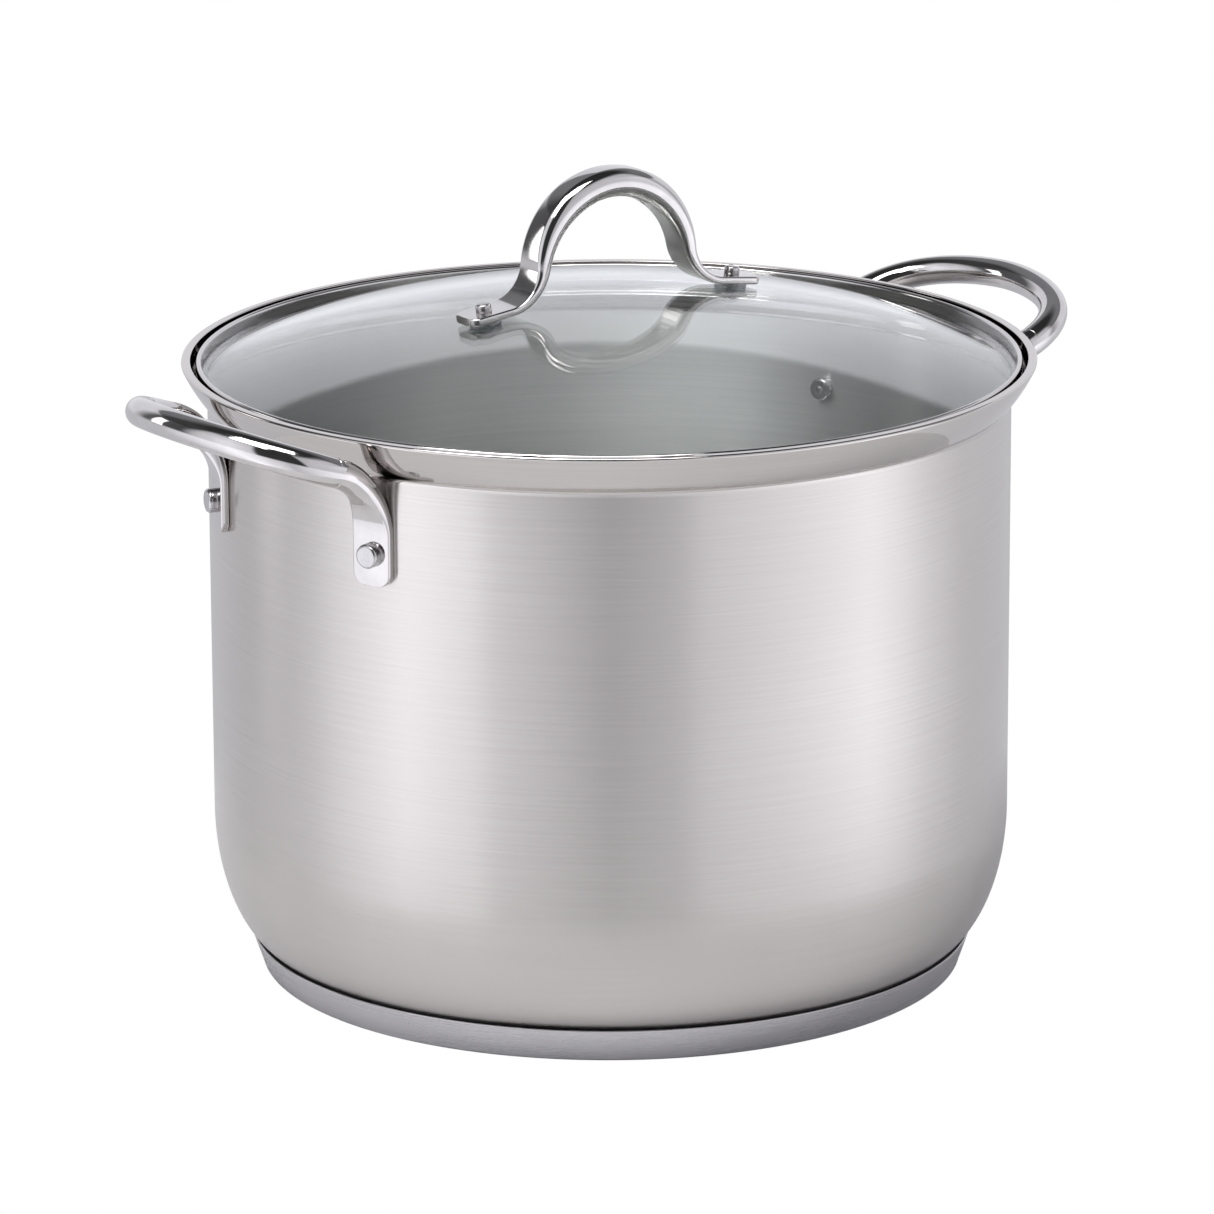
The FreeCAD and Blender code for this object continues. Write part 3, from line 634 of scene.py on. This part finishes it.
# ---- Lid handle ---------------------------------------------------------------------------------
# A cast stainless strap, polished bright. Its flat feet grow into a thick rounded grip, and it rests
# turned a few degrees from the side handles.
strap_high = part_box("lid_handle")[1]
lid_turn = math.radians(-3.8)
strap_width = 14.0 * MM
strap_foot = 2.8 * MM
strap_crown = 10.0 * MM
strap_edge = 0.9 * MM
strap_crown_edge = 4.6 * MM
strap_crown_length = 14.3 * MM
strap_thin_length = 9.0 * MM
arch_radius = 30.0 * MM
arch_lean = math.radians(8)
rivet_reach = 50.3 * MM
strap_end = 8.4 * MM
strap_nose = 3.2 * MM
grommet_thickness = 1.1 * MM
tilt = math.asin(rivet_reach / dome_radius)
arch_steps, strap_bend_steps, strap_foot_steps = 40, 32, 12
nose_shares = (0.2, 0.4, 0.6, 0.75, 0.87, 0.95, 0.99, 1.0)


def strap_stations():
    """Sections of the strap, from its left end over the crown to its right end."""
    steep = math.pi / 2 - arch_lean
    arch_centre = strap_high.z - strap_crown / 2 - arch_radius
    normal = Vector((math.sin(tilt), 0, math.cos(tilt)))
    outward = Vector((math.cos(tilt), 0, -math.sin(tilt)))
    seat = Vector((0, 0, dome_centre[1])) + normal * (dome_radius + grommet_thickness + strap_foot / 2)
    leg = Vector((arch_radius * math.sin(steep), 0, arch_centre + arch_radius * math.cos(steep)))
    bend = (leg.z - seat.z + math.tan(tilt) * (leg.x - seat.x)) / (
        math.cos(tilt) - math.cos(steep) - math.tan(tilt) * (math.sin(steep) - math.sin(tilt)))
    bend_centre = leg + Vector((bend * math.sin(steep), 0, bend * math.cos(steep)))
    points = []
    for i in range(arch_steps + 1):
        turn = steep * i / arch_steps
        points.append(Vector((arch_radius * math.sin(turn), 0, arch_centre + arch_radius * math.cos(turn))))
    for i in range(1, strap_bend_steps + 1):
        turn = steep + (tilt - steep) * i / strap_bend_steps
        points.append(bend_centre - Vector((bend * math.sin(turn), 0, bend * math.cos(turn))))
    flat_start = points[-1]
    flat_end = seat + outward * strap_end
    flat_length = (flat_end - flat_start).length
    for i in range(1, strap_foot_steps + 1):
        points.append(flat_start + outward * (flat_length - strap_nose) * i / strap_foot_steps)
    for share in nose_shares:
        points.append(flat_end - outward * strap_nose * (1 - share))
    length = [0.0]
    for a, b in zip(points, points[1:]):
        length.append(length[-1] + (b - a).length)
    across = Vector((0, 1, 0))
    right = []
    for i, point in enumerate(points):
        if i == 0:
            along = Vector((1, 0, 0))
        elif i >= len(points) - len(nose_shares) - 1:
            along = outward
        else:
            along = (points[i + 1] - points[i - 1]).normalized()
        through = along.cross(across) * -1
        grown = 1 - eased(length[i], strap_crown_length, length[-1] - strap_end - strap_thin_length)
        thickness = strap_foot + (strap_crown - strap_foot) * grown
        edge = strap_edge + (strap_crown_edge - strap_edge) * grown
        width = strap_width - 2 * corner_cut(length[-1] - length[i], strap_nose)
        right.append((point, across, through, width, thickness, edge))
    left = [(Vector((-p.x, 0, p.z)), a, Vector((-t.x, 0, t.z)), w, d, e)
            for p, a, t, w, d, e in reversed(right[1:])]
    return left + right


bm = loft(strap_stations(), 40)
bmesh.ops.rotate(bm, verts=bm.verts, cent=(0, 0, 0), matrix=Matrix.Rotation(lid_turn, 3, "Z"))
strap = finish_mesh("lid_handle_strap", bm, "lid", "polished_steel", "lid_handle")
strap.data.materials.append(polished_steel)

# ---- Lid handle fixings -------------------------------------------------------------------------
# Small stainless rivets clamp the strap and the glass between clear silicone grommets, soft washers and
# steel washers, so that no metal touches the glass.
small_head = 2.7 * MM
small_height = 2.7 * MM
small_round = 0.9 * MM
small_shank = 2.0 * MM
small_inner = 3.5 * MM
small_inner_height = 1.5 * MM
small_inner_round = 0.5 * MM
soft_washer = 1.0 * MM
steel_washer = 0.8 * MM
top_of_strap = grommet_thickness + strap_foot
below_glass = -(glass_thickness + soft_washer + steel_washer)
small_outline = (
    [(0, top_of_strap + small_height)]
    + sweep((small_head - small_round, top_of_strap + small_height - small_round), small_round,
            math.pi / 2, 0, 7)
    + [(small_head, top_of_strap), (small_shank, top_of_strap), (small_shank, below_glass),
       (small_inner, below_glass)]
    + sweep((small_inner - small_inner_round, below_glass - small_inner_height + small_inner_round),
            small_inner_round, 0, -math.pi / 2, 5)
    + [(0, below_glass - small_inner_height)])
# Moulded silicone: milky, and half clear, with a skin that is slightly uneven.
silicone = bpy.data.materials.new("moulded_silicone")
silicone.use_nodes = True
tree = silicone.node_tree
tree.nodes.clear()
cloud = add(tree, "TexNoise", {
    "Vector": add(tree, "TexCoord").outputs["Object"], "Scale": 1 / (2 * MM), "Detail": 2.0})
milk = add(tree, "Mix", {0: cloud.outputs["Fac"], 6: paint("dfe2e3"), 7: paint("eceeef")}, data_type="RGBA")
skin = add(tree, "Bump", {"Strength": 0.2, "Distance": 0.02 * MM, "Height": cloud.outputs["Fac"]})
rubber = add(tree, "BsdfPrincipled", {
    "Base Color": milk.outputs[2], "Roughness": 0.22, "Normal": skin.outputs[0],
    "Transmission Weight": 0.85, "IOR": 1.41})
add(tree, "OutputMaterial", {"Surface": rubber.outputs[0]})
glass_cutters = []
for side, sign in (("right", 1), ("left", -1)):
    seat = (Matrix.Rotation(lid_turn, 4, "Z") @ Matrix.Translation((0, 0, dome_centre[1]))
            @ Matrix.Rotation(sign * tilt, 4, "Y") @ Matrix.Translation((0, 0, dome_radius)))
    bm = lathe(small_outline, 40, closed=False)
    bmesh.ops.transform(bm, verts=bm.verts, matrix=seat)
    rivet = finish_mesh("lid_rivet_" + side + "_solid", bm, "lid", "rivet_steel", "lid_rivet_" + side)
    rivet.data.materials.append(tumbled_steel)
    coat("grommet_" + side, silicone)
    coat("soft_washer_" + side, silicone)
    coat("steel_washer_" + side, tumbled_steel)
    drill_mesh = bpy.data.meshes.new("glass_drill_" + side)
    bm = bmesh.new()
    bmesh.ops.create_cone(bm, cap_ends=True, segments=48, radius1=glass_hole, radius2=glass_hole,
                          depth=6 * glass_thickness, matrix=seat)
    bm.to_mesh(drill_mesh)
    bm.free()
    drill = bpy.data.objects.new("glass_drill_" + side, drill_mesh)
    scene.collection.objects.link(drill)
    glass_cutters.append(drill)

# The two holes are cut through the glass here, where the rivets' places are known.
glass.modifiers.clear()
for drill in glass_cutters:
    hole = glass.modifiers.new("hole", "BOOLEAN")
    hole.object = drill
    hole.operation = "DIFFERENCE"
    hole.solver = "EXACT"
bpy.context.view_layer.update()
drilled = bpy.data.meshes.new_from_object(glass.evaluated_get(bpy.context.evaluated_depsgraph_get()))
glass.modifiers.clear()
glass.data = drilled
for drill in glass_cutters:
    bpy.data.objects.remove(drill)
